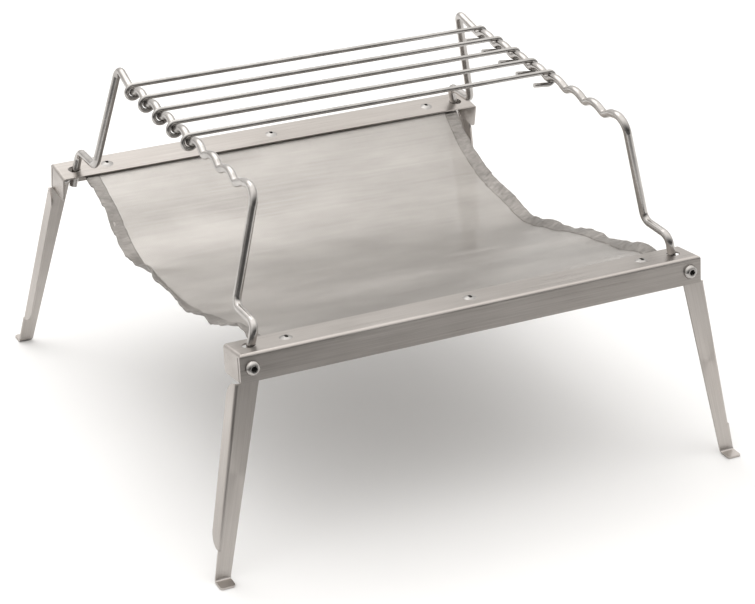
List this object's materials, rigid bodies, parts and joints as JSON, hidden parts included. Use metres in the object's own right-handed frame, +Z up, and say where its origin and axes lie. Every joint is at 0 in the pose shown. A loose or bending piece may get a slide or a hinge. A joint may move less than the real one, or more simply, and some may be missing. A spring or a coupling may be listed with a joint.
{
  "type": "folding camp grill",
  "caption": "Folding camp grill: sheet metal rails on swinging legs, a hanging woven mesh fire bed, and a lift-off rack of notched wire arms with hooked cooking bars.",
  "frame": {"origin": "centre of the footprint on the ground, under the middle of the fire bed", "axes": "+X along the rails towards the right, +Y from the front rail to the back rail, +Z up"},
  "size_m": [0.4176, 0.4176, 0.2512],
  "materials": {
    "rail_sheet": "brushed",
    "leg_sheet": "brushed",
    "fastener": "satin",
    "rivet": "satin",
    "woven_mesh": "satin",
    "mesh_binding": "satin",
    "arm_wire": "polished",
    "bar_wire": "polished"
  },
  "bodies": {
    "frame": {"back_rail": "rail_sheet", "front_rail": "rail_sheet", "pivot_bolts": "fastener", "pivot_washers": "fastener", "pivot_lock_nuts": "fastener", "fire_bed_mesh": "woven_mesh", "left_edge_binding": "mesh_binding", "right_edge_binding": "mesh_binding", "back_clamp_strip": "rail_sheet", "front_clamp_strip": "rail_sheet", "mesh_rivets": "rivet"},
    "back_right_leg_body": {"back_right_leg": "leg_sheet"},
    "back_left_leg_body": {"back_left_leg": "leg_sheet"},
    "front_left_leg_body": {"front_left_leg": "leg_sheet"},
    "front_right_leg_body": {"front_right_leg": "leg_sheet"},
    "rack": {"left_arm": "arm_wire", "right_arm": "arm_wire", "cooking_bar_1": "bar_wire", "cooking_bar_2": "bar_wire", "cooking_bar_3": "bar_wire", "cooking_bar_4": "bar_wire", "cooking_bar_5": "bar_wire"}
  },
  "joints": [
    {"name": "back_right_leg_fold", "type": "hinge", "parent": "frame", "child": "back_right_leg_body", "pos_m": [0.171, 0.18135, 0.14659], "axis": [0, 0.9917, 0.1288], "range_deg": [0, 95]},
    {"name": "back_left_leg_fold", "type": "hinge", "parent": "frame", "child": "back_left_leg_body", "pos_m": [-0.171, 0.18135, 0.14659], "axis": [0, -0.9917, -0.1288], "range_deg": [0, 95]},
    {"name": "front_left_leg_fold", "type": "hinge", "parent": "frame", "child": "front_left_leg_body", "pos_m": [-0.171, -0.18135, 0.14659], "axis": [0, -0.9917, 0.1288], "range_deg": [0, 95]},
    {"name": "front_right_leg_fold", "type": "hinge", "parent": "frame", "child": "front_right_leg_body", "pos_m": [0.171, -0.18135, 0.14659], "axis": [0, 0.9917, -0.1288], "range_deg": [0, 95]},
    {"name": "rack_lift", "type": "slide", "parent": "frame", "child": "rack", "axis": [0, 0, 1], "range_m": [0, 0.06]}
  ]
}
